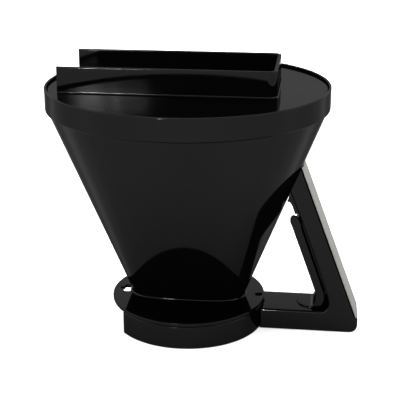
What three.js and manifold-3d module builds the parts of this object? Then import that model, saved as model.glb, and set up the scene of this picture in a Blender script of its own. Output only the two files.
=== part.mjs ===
// A cone filter holder for a drip coffee maker. A lift-off lid closes the top, a collar
// under the base flange sits on the jug, and the handle holds a squeeze lever that draws
// back a latch. A sprung valve under the outlet stops the drip when the jug is away.
//
// Millimetres, +Z up, handle towards +X. While the pieces are made, the cone's axis is
// at x = 0 and the collar stands on z = 0. The finished group is moved along X so that
// the origin lies under the middle of the whole holder.

import * as THREE from "three";
import { mergeVertices } from "three/addons/utils/BufferGeometryUtils.js";
import { ConvexGeometry } from "three/addons/geometries/ConvexGeometry.js";
import Module from "manifold-3d";

const wasm = await Module();
wasm.setup();

// ---------------------------------------------------------------- driving dimensions

const GAP = 0.3; // clearance between two pieces that rest on each other
const CONE_GAP = 0.35; // between the grip's top end and the cone
const SINK = 0.5; // how far joined features run into each other

const RIM_R = 70.5; // rim band, outside
const RIM_Z = 126; // top of the rim
const BAND_H = 11;
const BAND_T = 1.3;
const LEDGE_R = 66.4; // ledge that the lid rests on
const LEDGE_Z = 122.4;
const LEDGE_H = 4.4;

const CONE_TOP_R = 69.3; // the cone is a circle at the top and a stadium at the foot
const CONE_TOP_Z = RIM_Z - BAND_H;
const CONE_FOOT_R = 11.5;
const CONE_FOOT_X = 17.5; // middle of each round end of the stadium
const CONE_FOOT_Z = 13;
const CONE_WALL = 2.2; // measured level
const RIB_H = 1.1;
const RIB_W = 1.8;
const RIB_LOW = 16;
const RIB_HIGH = 106;
const RIBS = 12;

const FLANGE_R = 39.8;
const FLANGE_Z = 14; // top face
const FLANGE_T = 1.8;
const FLANGE_UNDER = FLANGE_Z - FLANGE_T;
const PEG_X = 37; // round hole and the peg in it
const PEG_HOLE_R = 2;
const SLOT_X = -32.6; // keyhole at the far side from the handle
const SLOT_LENGTH = 4;
const SLOT_WIDTH = 8;
const SLOT_TAIL = 3.8; // narrow end, towards the flange's edge
const SLOT_TAIL_WIDTH = 2.6;
const SLOT_CORNER = 1.4;

const COLLAR_R = 39.6;
const COLLAR_T = 2;
const COLLAR_H = FLANGE_UNDER - GAP;
const COLLAR_OPENING = 49.6; // width of the opening opposite the handle

const HANDLE_W = 23.2;
const HANDLE_REACH = 88.5;
const HANDLE_CORNER = 4;
const HANDLE_SIDE = 2.2; // thickness of the two side walls
const ARM_TOP = 11.1;
const ARM_WALL = 1.8;
const ARM_START = 41.3; // inside of the arm's hollow
const ARM_END = 80;
const GRIP_TOP = new THREE.Vector2(58.8, 85.7); // outer line of the grip, over the trim
const GRIP_FOOT = new THREE.Vector2(88, 8.5);
const GRIP_BACK = 1.5; // wall behind the trim
const GRIP_INNER_TOP = [52.1, 75]; // inner edge of the grip, from the cone to the arm
const GRIP_INNER_BEND = [62.8, 49.6];
const GRIP_INNER_FOOT = [73.2, 17.6];
const GRIP_INNER_CORNER = 74;
const GRIP_INNER_END = 69;
const TRIM_T = 0.6;
const POCKET_TOP = 66; // upper end of the hollow in the grip
const WEB_W = 17; // web between the grip's sides, above the lever
const HOOK_LOW = [50, -3, 75.5]; // hook on the cone that the grip's top end fits over
const HOOK_HIGH = [56.4, 3, 79.5];
const HOOK_GAP = 0.4;

const PIVOT_X = 63.5;
const PIVOT_Z = 56;
const PIN_R = 0.9;
const PIN_PLAY = 0.15;
const LEVER_W = 15.2;
const FIN_W = 8; // fin behind the lever's strip, with the eye for the pin
const EYE_R = 2.1;
const EAR_T = 1.8; // ear with the thumb stop, at the front side of the lever
const FOOT_Z = 11; // underside of the lever's foot, in a recess of the arm
const FOOT_T = 1.1;
const FOOT_X = 65; // middle of the foot's round end
const RECESS_Z = 10.2;
const RECESS_END = 74.5;
const RECESS_GAP = 0.4;
const POST_X = 63;
const POST_T = 3;
const POST_W = 4;
const POST_LOW = 4;
const POST_SLOT_W = 5.2; // slot in the top of the arm that the post swings in

const LATCH_TIP = 34.6; // where the latch's nose ends
const LATCH_TAIL = 69;
const LATCH_W = 9;
const LATCH_Z = 3.1;
const LATCH_T = 3.7;
const LATCH_PLAY = 0.6; // at each side of the latch in its window
const GUIDE_Y = 3; // middle of the guide rails over and under the latch
const GUIDE_T = 1.2;
const GUIDE_END = 60;
const COVER_Z = 0.4;
const COVER_T = 1.5;
const COVER_BOSS_R = 2.3; // bosses in the arm for the cover's screws
const COVER_BOSS_Z = 3.2;
const COVER_PAD_R = 1.9; // pads on the cover under those bosses
const COVER_HOLE_R = 1.1;
const COVER_SINK_R = 2.1; // countersink for a screw's head
const COVER_SCREWS = [
  [48, 7.4],
  [66, -7.4],
];

const VALVE_R = 11; // outside of the valve housing
const VALVE_LOW = 3.5; // underside of the housing
const VALVE_WALL = 1.5;
const SPIGOT_R = 7.4;
const SPIGOT_LOW = 10.4;
const SPIGOT_WALL = 2.2;
const OUTLET_R = 3.2;
const VALVE_PORT_R = 4.2;
const PLUNGER_HEAD_R = 6;
const PLUNGER_HEAD_Z = 5.8; // underside of the plunger's head
const PLUNGER_HEAD_T = 1.1;
const PLUNGER_STEM_R = 2;
const PLUNGER_TIP = 1.2;

const COLLAR_SCREW_R = 32.5; // how far the four collar screws are from the cone's axis
const COLLAR_SCREW_ANGLES = [40, 125, -125, -40];
const TAB_Z = 4.8; // underside of the tabs inside the collar
const TAB_T = 2;
const TAB_R = 4.2;
const TAB_RIB_R = 3;
const TAB_HOLE_R = 1.5;
const BOSS_R = 3.2; // bosses under the flange that the collar screws bite into
const PILOT_R = 1.4;
const PEG_BOSS_R = 3.4;
const PEG_BOSS_Z = 7.9;
const PEG_SEAT_Z = 8.6;
const PEG_LENGTH = 4.4;

const LID_R = RIM_R - BAND_T - GAP - 0.1;
const LID_T = 2;
const LID_Z = LEDGE_Z + GAP; // underside of the lid's deck
const LID_RING_T = 1.5; // ring under the deck that centres the lid
const LID_RING_H = 4;
const FENCE_X = [-60, 45]; // the fence on the lid, from its open end to its closed end
const FENCE_W = 47.8;
const FENCE_T = 1.8;
const FENCE_TOP = 137.4;
const FENCE_CORNER = 4.5;
const SHOWER_HOLES = 6; // holes in a ring, and one in the middle
const SHOWER_RING_R = 9;
const SHOWER_HOLE_R = 1.9;

const ROUND = 64; // sides of a large circle
const SMALL_ROUND = 20;

// ---------------------------------------------------------------- solids from geometry

// Turns a closed three.js geometry into a solid that can be joined and cut.
function solid(geometry) {
  const bare = geometry.clone();
  bare.deleteAttribute("normal");
  bare.deleteAttribute("uv");
  const merged = mergeVertices(bare, 1e-4);
  return new wasm.Manifold(
    new wasm.Mesh({
      numProp: 3,
      vertProperties: new Float32Array(merged.attributes.position.array),
      triVerts: new Uint32Array(merged.index.array),
    })
  );
}

// Revolves a closed outline of [radius, z] points, given anticlockwise, about the Z axis.
function turned(outline, sides = ROUND) {
  const points = [...outline, outline[0]].map(([r, z]) => new THREE.Vector2(r, z));
  return solid(new THREE.LatheGeometry(points, sides).rotateX(Math.PI / 2));
}

// A cylinder about the Z axis, moved to x, y.
function round(radius, low, high, x = 0, y = 0, sides = SMALL_ROUND) {
  const geometry = new THREE.CylinderGeometry(radius, radius, high - low, sides);
  return solid(geometry.rotateX(Math.PI / 2).translate(x, y, (low + high) / 2));
}

// A cylinder about a line along Y at x, z.
function crossways(radius, x, z, low, high) {
  const geometry = new THREE.CylinderGeometry(radius, radius, high - low, SMALL_ROUND);
  return solid(geometry.translate(x, (low + high) / 2, z));
}

function block(low, high) {
  const size = high.map((value, axis) => value - low[axis]);
  const middle = high.map((value, axis) => (value + low[axis]) / 2);
  return solid(new THREE.BoxGeometry(...size).translate(...middle));
}

// Extrudes an outline drawn in plan, from low to high.
function upright(shape, low, high) {
  const geometry = new THREE.ExtrudeGeometry(shape, {
    depth: high - low,
    bevelEnabled: false,
    curveSegments: 6,
  });
  return solid(geometry.translate(0, 0, low));
}

// Extrudes an outline drawn in the side view (x, z) to both sides of the middle.
function sideways(shape, width) {
  const geometry = new THREE.ExtrudeGeometry(shape, {
    depth: width,
    bevelEnabled: false,
    curveSegments: 8,
  });
  return solid(geometry.rotateX(Math.PI / 2).translate(0, width / 2, 0));
}

function outline(points) {
  return new THREE.Shape(points.map(([x, y]) => new THREE.Vector2(x, y)));
}

function joined(solids) {
  return solids.reduce((whole, next) => whole.add(next));
}

function cut(whole, tools) {
  return tools.reduce((rest, tool) => rest.subtract(tool), whole);
}

function roundedRectangle(x0, y0, x1, y1, r) {
  const shape = new THREE.Shape();
  shape.moveTo(x0 + r, y0);
  shape.lineTo(x1 - r, y0);
  shape.absarc(x1 - r, y0 + r, r, -Math.PI / 2, 0);
  shape.lineTo(x1, y1 - r);
  shape.absarc(x1 - r, y1 - r, r, 0, Math.PI / 2);
  shape.lineTo(x0 + r, y1);
  shape.absarc(x0 + r, y1 - r, r, Math.PI / 2, Math.PI);
  shape.lineTo(x0, y0 + r);
  shape.absarc(x0 + r, y0 + r, r, Math.PI, Math.PI * 1.5);
  return shape;
}

// ---------------------------------------------------------------- object and finishes

const holder = new THREE.Group();
holder.position.x = (RIM_R - HANDLE_REACH) / 2;

const blackPlastic = { color: 0x0c0c0d, roughness: 0.18, metalness: 0 };
const mattBlack = { color: 0x1a1a1b, roughness: 0.5, metalness: 0 };
const aluminium = { color: 0xb4b4ae, roughness: 0.38, metalness: 1 };
const steel = { color: 0xa8a9ab, roughness: 0.3, metalness: 1 };
const greyPlastic = { color: 0x8d8f90, roughness: 0.45, metalness: 0 };
const rubber = { color: 0x8c3a2a, roughness: 0.75, metalness: 0 };

function addPiece(name, body, finish, place = [0, 0, 0]) {
  const { vertProperties, triVerts } = body.getMesh();
  const geometry = new THREE.BufferGeometry();
  geometry.setAttribute("position", new THREE.BufferAttribute(vertProperties, 3));
  geometry.setIndex(new THREE.BufferAttribute(triVerts, 1));
  geometry.computeVertexNormals();
  const mesh = new THREE.Mesh(geometry, new THREE.MeshStandardMaterial(finish));
  mesh.name = name;
  mesh.position.set(...place);
  holder.add(mesh);
}

// ---------------------------------------------------------------- filter cone

// Every level section of the cone is a stadium. Its round ends shrink and move apart
// from the circle at the top to the foot.
function coneSection(z) {
  const share = (z - CONE_FOOT_Z) / (CONE_TOP_Z - CONE_FOOT_Z);
  return {
    radius: CONE_FOOT_R + (CONE_TOP_R - CONE_FOOT_R) * share,
    middle: CONE_FOOT_X * (1 - share),
  };
}

// A point on the cone's wall, moved out by offset, in the level direction of angle.
function conePoint(angle, z, offset) {
  const { radius, middle } = coneSection(z);
  const side = Math.cos(angle) >= 0 ? 1 : -1;
  return new THREE.Vector3(
    side * middle + (radius + offset) * Math.cos(angle),
    (radius + offset) * Math.sin(angle),
    z
  );
}

function coneBody(offset, low, high) {
  const points = [];
  for (let step = 0; step < ROUND; step += 1) {
    const angle = ((step + 0.5) / ROUND) * 2 * Math.PI;
    points.push(conePoint(angle, low, offset), conePoint(angle, high, offset));
  }
  return solid(new ConvexGeometry(points));
}

// A drainage rib on the inside of the cone, sunk into its wall.
function coneRib(angle) {
  const across = new THREE.Vector3(-Math.sin(angle), Math.cos(angle), 0);
  const points = [];
  for (const z of [RIB_LOW, RIB_HIGH]) {
    for (const offset of [-CONE_WALL - RIB_H, -CONE_WALL + SINK]) {
      const middle = conePoint(angle, z, offset);
      for (const side of [-0.5, 0.5]) {
        points.push(middle.clone().addScaledVector(across, side * RIB_W));
      }
    }
  }
  return solid(new ConvexGeometry(points));
}

function collarScrewPlaces() {
  return COLLAR_SCREW_ANGLES.map((degrees) => {
    const angle = THREE.MathUtils.degToRad(degrees);
    return [COLLAR_SCREW_R * Math.cos(angle), COLLAR_SCREW_R * Math.sin(angle)];
  });
}

function filterCone() {
  const rim = turned([
    [CONE_TOP_R - CONE_WALL, CONE_TOP_Z],
    [RIM_R, CONE_TOP_Z],
    [RIM_R, RIM_Z],
    [RIM_R - BAND_T, RIM_Z],
    [RIM_R - BAND_T, LEDGE_Z],
    [LEDGE_R, LEDGE_Z],
    [LEDGE_R, LEDGE_Z - LEDGE_H],
  ]);
  const flange = round(FLANGE_R, FLANGE_UNDER, FLANGE_Z, 0, 0, ROUND);
  const spigot = round(SPIGOT_R, SPIGOT_LOW, FLANGE_UNDER + SINK);
  const bosses = collarScrewPlaces().map(([x, y]) =>
    round(BOSS_R, TAB_Z + TAB_T + GAP, FLANGE_UNDER + SINK, x, y)
  );
  const pilots = collarScrewPlaces().map(([x, y]) =>
    round(PILOT_R, 0, FLANGE_UNDER - 0.6, x, y)
  );
  const slot = roundedRectangle(
    SLOT_X - SLOT_LENGTH / 2,
    -SLOT_WIDTH / 2,
    SLOT_X + SLOT_LENGTH / 2,
    SLOT_WIDTH / 2,
    SLOT_CORNER
  );
  const tail = roundedRectangle(
    SLOT_X - SLOT_TAIL,
    -SLOT_TAIL_WIDTH / 2,
    SLOT_X,
    SLOT_TAIL_WIDTH / 2,
    SLOT_TAIL_WIDTH / 2 - 0.1
  );
  const shell = joined([
    coneBody(0, CONE_FOOT_Z, CONE_TOP_Z + SINK),
    rim,
    flange,
    spigot,
    ...bosses,
    block(HOOK_LOW, HOOK_HIGH),
  ]);
  const hollow = cut(shell, [
    coneBody(-CONE_WALL, FLANGE_Z, CONE_TOP_Z),
    coneBody(-CONE_WALL, CONE_TOP_Z - GAP, CONE_TOP_Z + GAP),
    round(LEDGE_R, CONE_TOP_Z, RIM_Z, 0, 0, ROUND),
    round(OUTLET_R, 0, FLANGE_Z + SINK),
    round(SPIGOT_R - SPIGOT_WALL, 0, FLANGE_UNDER),
    round(PEG_HOLE_R, 0, FLANGE_Z + SINK, PEG_X, 0),
    upright(slot, FLANGE_UNDER - SINK, FLANGE_Z + SINK),
    upright(tail, FLANGE_UNDER - SINK, FLANGE_Z + SINK),
    ...pilots,
  ]);
  const ribs = [];
  for (let step = 0; step < RIBS; step += 1) {
    ribs.push(coneRib(((step + 0.5) / RIBS) * 2 * Math.PI));
  }
  return joined([hollow, ...ribs]);
}

addPiece("filter_cone", filterCone(), blackPlastic);

// ---------------------------------------------------------------- lid

function lid() {
  const deckTop = LID_Z + LID_T;
  const ringOuter = LEDGE_R - GAP;
  const deck = turned([
    [0, LID_Z],
    [ringOuter - LID_RING_T, LID_Z],
    [ringOuter - LID_RING_T, LID_Z - LID_RING_H],
    [ringOuter, LID_Z - LID_RING_H],
    [ringOuter, LID_Z],
    [LID_R, LID_Z],
    [LID_R, deckTop],
    [0, deckTop],
  ]);
  const [openEnd, closedEnd] = FENCE_X;
  const half = FENCE_W / 2;
  const past = openEnd - 10;
  const outside = roundedRectangle(past, -half, closedEnd, half, FENCE_CORNER);
  const inside = roundedRectangle(
    past - 10,
    -half + FENCE_T,
    closedEnd - FENCE_T,
    half - FENCE_T,
    FENCE_CORNER - FENCE_T
  );
  const fence = cut(upright(outside, deckTop - SINK, FENCE_TOP), [
    upright(inside, deckTop - 2 * SINK, FENCE_TOP + SINK),
    block([past - 1, -half - 1, deckTop - 2 * SINK], [openEnd, half + 1, FENCE_TOP + SINK]),
  ]);
  const holes = [round(SHOWER_HOLE_R, LID_Z - SINK, deckTop + SINK)];
  for (let step = 0; step < SHOWER_HOLES; step += 1) {
    const angle = (step / SHOWER_HOLES) * 2 * Math.PI;
    const x = SHOWER_RING_R * Math.cos(angle);
    const y = SHOWER_RING_R * Math.sin(angle);
    holes.push(round(SHOWER_HOLE_R, LID_Z - SINK, deckTop + SINK, x, y));
  }
  return cut(deck.add(fence), holes);
}

addPiece("lid", lid(), blackPlastic);

// ---------------------------------------------------------------- collar and handle

const gripAlong = GRIP_FOOT.clone().sub(GRIP_TOP).normalize();
const gripIn = new THREE.Vector2(gripAlong.y, -gripAlong.x); // from the trim into the grip

// A point of the grip, along its outer line to height z and then inwards by depth.
function gripPoint(z, depth) {
  const reach = (z - GRIP_TOP.y - gripIn.y * depth) / gripAlong.y;
  return [GRIP_TOP.x + gripAlong.x * reach + gripIn.x * depth, z];
}

const TRIM_SEAT = TRIM_T + GAP;
const halfHandle = HANDLE_W / 2;
const halfPocket = halfHandle - HANDLE_SIDE;

// The side view of the arm and the grip. Its upper end runs into the cone.
function handleSide() {
  const shape = new THREE.Shape();
  const [seatX, seatZ] = gripPoint(GRIP_FOOT.y - 0.4, TRIM_SEAT);
  shape.moveTo(COLLAR_R - COLLAR_T, 0);
  shape.lineTo(HANDLE_REACH - HANDLE_CORNER, 0);
  shape.absarc(
    HANDLE_REACH - HANDLE_CORNER,
    HANDLE_CORNER,
    HANDLE_CORNER,
    -Math.PI / 2,
    0
  );
  shape.lineTo(HANDLE_REACH, seatZ - 1);
  shape.lineTo(HANDLE_REACH - 0.3, seatZ);
  shape.lineTo(seatX, seatZ);
  shape.lineTo(...gripPoint(GRIP_TOP.y + 2, TRIM_SEAT));
  shape.lineTo(48, GRIP_TOP.y + 2);
  shape.lineTo(48, GRIP_INNER_TOP[1] + 4);
  shape.lineTo(...GRIP_INNER_TOP);
  shape.quadraticCurveTo(...GRIP_INNER_BEND, ...GRIP_INNER_FOOT);
  shape.quadraticCurveTo(GRIP_INNER_CORNER, ARM_TOP, GRIP_INNER_END, ARM_TOP);
  shape.lineTo(COLLAR_R - COLLAR_T, ARM_TOP);
  return shape;
}

// Two rails along the arm that the latch slides between.
function guideRails(low, high) {
  return [-GUIDE_Y, GUIDE_Y].map((y) =>
    block([ARM_START + 3, y - GUIDE_T / 2, low], [GUIDE_END, y + GUIDE_T / 2, high])
  );
}

// The web that closes the grip above the lever. It stands a little proud of the sides.
function gripWeb() {
  const web = outline([
    [50, 78],
    [49, 74.5],
    [51.4, 70.8],
    [53, 67],
    [54.8, 62.4],
    [59.5, 62.4],
    [60, 67],
    [57, 73],
    [54, 79],
  ]);
  return sideways(web, WEB_W);
}

function collarHandle() {
  const inside = COLLAR_R - COLLAR_T;
  const ring = turned([
    [inside, 0],
    [COLLAR_R, 0],
    [COLLAR_R, COLLAR_H],
    [inside, COLLAR_H],
  ]);
  const opening = COLLAR_OPENING / 2;
  const collar = ring.subtract(block([-50, -opening, -1], [0, opening, COLLAR_H + 1]));
  const side = sideways(handleSide(), HANDLE_W);
  const arm = cut(side, [round(inside + 1, -1, ARM_TOP + 1, 0, 0, ROUND)]);
  const tabs = collarScrewPlaces().map(([x, y]) => {
    const wide = round(TAB_R, TAB_Z, TAB_Z + TAB_T, x, y);
    const share = (1 + (inside + SINK) / COLLAR_SCREW_R) / 2;
    return wide.add(round(TAB_RIB_R, TAB_Z, TAB_Z + TAB_T, x * share, y * share));
  });
  const tabHoles = collarScrewPlaces().map(([x, y]) => round(TAB_HOLE_R, 0, COLLAR_H, x, y));
  const pegBoss = round(PEG_BOSS_R, PEG_BOSS_Z, COLLAR_H, PEG_X, 0);

  const armHollow = block(
    [ARM_START, -halfPocket, -1],
    [ARM_END, halfPocket, ARM_TOP - ARM_WALL]
  );
  const gripHollow = sideways(
    outline([
      [70, ARM_TOP - ARM_WALL - SINK],
      gripPoint(ARM_TOP - ARM_WALL - SINK, TRIM_SEAT + GRIP_BACK),
      gripPoint(POCKET_TOP, TRIM_SEAT + GRIP_BACK),
      [50, POCKET_TOP],
      [66, ARM_TOP + 0.1],
      [70, ARM_TOP + 0.1],
    ]),
    2 * halfPocket
  );
  const postSlot = block(
    [POST_X - 2, -POST_SLOT_W / 2, ARM_TOP - 3],
    [72, POST_SLOT_W / 2, ARM_TOP + 1]
  );
  const latchWindow = block(
    [COLLAR_R - 10, -LATCH_W / 2 - LATCH_PLAY, LATCH_Z - 0.5],
    [ARM_START + 1, LATCH_W / 2 + LATCH_PLAY, LATCH_Z + LATCH_T + 0.4]
  );
  const hookPocket = block(
    HOOK_LOW.map((value) => value - HOOK_GAP),
    HOOK_HIGH.map((value) => value + HOOK_GAP)
  );
  const recessHalf = LEVER_W / 2 + RECESS_GAP;
  const footRecess = round(recessHalf, RECESS_Z, ARM_TOP + 1, FOOT_X, 0, 32).add(
    block([FOOT_X, -recessHalf, RECESS_Z], [RECESS_END, recessHalf, ARM_TOP + 1])
  );
  const hollow = cut(joined([collar, arm, ...tabs, pegBoss]), [
    footRecess,
    armHollow,
    gripHollow,
    postSlot,
    latchWindow,
  ]);
  const body = cut(hollow.add(gripWeb()), [
    hookPocket,
    coneBody(CONE_GAP, CONE_FOOT_Z, CONE_TOP_Z),
    round(FLANGE_R + GAP, COLLAR_H, FLANGE_Z + 1, 0, 0, ROUND),
    round(PEG_HOLE_R - 0.2, PEG_SEAT_Z, COLLAR_H + 1, PEG_X, 0),
    crossways(PIN_R + PIN_PLAY, PIVOT_X, PIVOT_Z, -halfHandle + 0.8, halfHandle + 1),
    ...tabHoles,
  ]);
  const coverBosses = COVER_SCREWS.map(([x, y]) => {
    const boss = round(COVER_BOSS_R, COVER_BOSS_Z, ARM_TOP - ARM_WALL + SINK, x, y);
    return boss.subtract(round(COVER_HOLE_R, 3, 8, x, y));
  });
  const rails = guideRails(LATCH_Z + LATCH_T + GAP, ARM_TOP - ARM_WALL + SINK);
  return joined([body, ...coverBosses, ...rails]);
}

addPiece("collar_handle", collarHandle(), blackPlastic);

// The bright strip along the outer face of the grip.
function gripTrim() {
  const strip = sideways(
    outline([
      gripPoint(GRIP_FOOT.y, TRIM_T),
      gripPoint(GRIP_FOOT.y, 0),
      gripPoint(GRIP_TOP.y + 2, 0),
      gripPoint(GRIP_TOP.y + 2, TRIM_T),
    ]),
    HANDLE_W
  );
  return strip.subtract(coneBody(CONE_GAP, CONE_FOOT_Z, CONE_TOP_Z));
}

addPiece("grip_trim", gripTrim(), aluminium);

function armCover() {
  const inset = halfPocket - GAP;
  const plate = block(
    [ARM_START + GAP, -inset, COVER_Z],
    [ARM_END - GAP, inset, COVER_Z + COVER_T]
  );
  const rails = guideRails(COVER_Z, LATCH_Z - GAP);
  const pads = COVER_SCREWS.map(([x, y]) => {
    const side = Math.sign(y);
    return round(COVER_PAD_R, COVER_Z, COVER_BOSS_Z - GAP, x, y - side * 0.3);
  });
  const holes = COVER_SCREWS.flatMap(([x, y]) => [
    round(COVER_HOLE_R, 0, 5, x, y),
    round(COVER_SINK_R, 0, 1.6, x, y),
  ]);
  return cut(joined([plate, ...rails, ...pads]), holes);
}

addPiece("arm_cover", armCover(), mattBlack);

// ---------------------------------------------------------------- squeeze lever

function lever() {
  const half = LEVER_W / 2;
  const footTop = FOOT_Z + FOOT_T;
  const strip = new THREE.Shape();
  strip.moveTo(65.5, FOOT_Z);
  strip.quadraticCurveTo(71.6, FOOT_Z, 71.4, 18.5);
  strip.lineTo(58.6, 54);
  strip.lineTo(57.8, 55.8);
  strip.lineTo(53.3, 55.8);
  strip.lineTo(66.3, 20.5);
  strip.lineTo(66.6, 17.5);
  strip.quadraticCurveTo(66.5, footTop, 63, footTop);
  strip.lineTo(63, FOOT_Z);
  const foot = round(half, FOOT_Z, footTop, FOOT_X, 0, 32).subtract(
    block([FOOT_X + 1.5, -half - 1, FOOT_Z - 1], [FOOT_X + half + 1, half + 1, footTop + 1])
  );
  const ear = sideways(
    outline([
      [54, 54],
      [58.6, 54],
      [58.2, 56.8],
      [56.8, 59.6],
      [54.9, 61.3],
      [53.3, 61.2],
      [52.4, 59.8],
      [52.5, 58],
    ]),
    EAR_T
  ).translate(0, (EAR_T - LEVER_W) / 2, 0);
  const fin = sideways(
    outline([
      [56, 59],
      [54.5, 55],
      [66.8, 21],
      [70, 17],
      [74.4, 18.5],
      [74.9, 22],
      [65.4, 55],
      [62, 58],
    ]),
    FIN_W
  );
  const eye = crossways(EYE_R, PIVOT_X, PIVOT_Z, -FIN_W / 2, FIN_W / 2);
  const post = block(
    [POST_X - POST_T / 2, -POST_W / 2, POST_LOW],
    [POST_X + POST_T / 2, POST_W / 2, FOOT_Z + SINK]
  );
  const pinHole = crossways(PIN_R + PIN_PLAY, PIVOT_X, PIVOT_Z, -half, half);
  return cut(joined([sideways(strip, LEVER_W), foot, ear, fin, eye, post]), [pinHole]);
}

addPiece("squeeze_lever", lever(), blackPlastic);

const pinLow = -halfHandle + 0.9;
const pinHigh = halfHandle - 0.2;
addPiece("lever_pin", crossways(PIN_R, 0, 0, pinLow, pinHigh), steel, [PIVOT_X, 0, PIVOT_Z]);

// ---------------------------------------------------------------- latch

function latchBar() {
  const half = LATCH_W / 2;
  const top = LATCH_Z + LATCH_T;
  const side = outline([
    [LATCH_TIP, LATCH_Z + 1.6],
    [LATCH_TIP + 2.2, LATCH_Z],
    [LATCH_TAIL, LATCH_Z],
    [LATCH_TAIL, top],
    [LATCH_TIP, top],
  ]);
  const slot = block([POST_X - 2, -2.5, LATCH_Z - 1], [POST_X + 2, 2.5, top + 1]);
  return sideways(side, 2 * half).subtract(slot);
}

addPiece("latch_bar", latchBar(), greyPlastic);

class Helix extends THREE.Curve {
  constructor(radius, length, turns) {
    super();
    this.radius = radius;
    this.length = length;
    this.turns = turns;
  }

  getPoint(t, target = new THREE.Vector3()) {
    const angle = 2 * Math.PI * this.turns * t;
    const x = this.radius * Math.cos(angle);
    const y = this.radius * Math.sin(angle);
    return target.set(x, y, this.length * t);
  }
}

// A coil spring along +Z from the origin.
function coil(radius, wire, length, turns) {
  const section = new THREE.Shape().absarc(0, 0, wire, 0, 2 * Math.PI);
  const path = new Helix(radius, length - 2 * wire, turns);
  const geometry = new THREE.ExtrudeGeometry(section, {
    steps: Math.round(turns * 10),
    curveSegments: 3,
    extrudePath: path,
  });
  return geometry.translate(0, 0, wire);
}

const springMiddle = LATCH_Z + LATCH_T / 2;
const latchSpring = coil(1.5, 0.25, ARM_END - LATCH_TAIL - 2 * GAP, 6).rotateY(Math.PI / 2);
addPiece("latch_spring", solid(latchSpring), steel, [LATCH_TAIL + GAP, 0, springMiddle]);

// ---------------------------------------------------------------- drip valve

function valveHousing() {
  const inner = VALVE_R - VALVE_WALL;
  const floor = VALVE_LOW + VALVE_WALL;
  return turned([
    [VALVE_PORT_R, VALVE_LOW],
    [VALVE_R, VALVE_LOW],
    [VALVE_R, FLANGE_UNDER - GAP],
    [inner, FLANGE_UNDER - GAP],
    [inner, floor],
    [VALVE_PORT_R, floor],
  ], 40);
}

addPiece("valve_housing", valveHousing(), greyPlastic);

// The sealing ring between the spigot under the cone and the housing.
const sealMiddle = (SPIGOT_R + VALVE_R - VALVE_WALL) / 2;
const sealSection = (VALVE_R - VALVE_WALL - SPIGOT_R) / 2 - 0.15;
const sealRing = new THREE.TorusGeometry(sealMiddle, sealSection, 6, 32);
addPiece("housing_seal", solid(sealRing), rubber, [0, 0, SPIGOT_LOW + 0.9]);

function plunger() {
  const top = PLUNGER_HEAD_Z + PLUNGER_HEAD_T;
  return turned([
    [0, PLUNGER_TIP],
    [PLUNGER_STEM_R - 0.6, PLUNGER_TIP],
    [PLUNGER_STEM_R, PLUNGER_TIP + 0.8],
    [PLUNGER_STEM_R, PLUNGER_HEAD_Z],
    [PLUNGER_HEAD_R, PLUNGER_HEAD_Z],
    [PLUNGER_HEAD_R, top],
    [PLUNGER_STEM_R, top],
    [PLUNGER_STEM_R - 0.6, top + 0.8],
    [0, top + 0.8],
  ], 32);
}

addPiece("valve_plunger", plunger(), greyPlastic);

const seat = VALVE_LOW + VALVE_WALL;
const washer = turned([
  [PLUNGER_STEM_R + GAP, seat + 0.05],
  [PLUNGER_HEAD_R, seat + 0.05],
  [PLUNGER_HEAD_R, PLUNGER_HEAD_Z - 0.1],
  [PLUNGER_STEM_R + GAP, PLUNGER_HEAD_Z - 0.1],
], 32);
addPiece("valve_washer", washer, rubber);

const valveSpringLow = PLUNGER_HEAD_Z + PLUNGER_HEAD_T + GAP;
const valveSpring = coil(4.1, 0.3, FLANGE_UNDER - GAP - valveSpringLow, 2.5);
addPiece("valve_spring", solid(valveSpring), steel, [0, 0, valveSpringLow]);

// ---------------------------------------------------------------- pegs and screws

addPiece("locating_peg", round(PEG_HOLE_R - 0.4, 0, PEG_LENGTH), steel, [
  PEG_X,
  0,
  PEG_SEAT_Z + GAP,
]);

// A pan head screw with its head down and a cross recess in the head.
function screw(headRadius, headHeight, shankRadius, length) {
  const body = joined([
    round(headRadius, 0, headHeight),
    round(shankRadius, headHeight - 0.2, headHeight + length, 0, 0, 16),
  ]);
  const arm = headRadius * 0.6;
  const depth = headHeight * 0.5;
  return cut(body, [
    block([-arm, -0.3, -1], [arm, 0.3, depth]),
    block([-0.3, -arm, -1], [0.3, arm, depth]),
  ]);
}

const collarScrewHead = 1.8;
collarScrewPlaces().forEach(([x, y], index) => {
  const place = [x, y, TAB_Z - GAP - collarScrewHead];
  addPiece(`collar_screw_${index + 1}`, screw(2.7, collarScrewHead, 1.1, 6.3), steel, place);
});

COVER_SCREWS.forEach(([x, y], index) => {
  const place = [x, y, COVER_Z + 0.1];
  addPiece(`cover_screw_${index + 1}`, screw(1.75, 0.8, 0.8, 6), steel, place);
});

export default holder;
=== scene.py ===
"""A cone filter holder for a drip coffee maker, in glossy black plastic.

The CAD frame gives every place and size. The shells that show are made again here with
rounded edges and smooth walls, and each one stands for its CAD node. All lengths are in
metres, +Z is up and the handle points towards +X.
"""

import math

import bmesh
import bpy
from mathutils import Matrix, Vector


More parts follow.
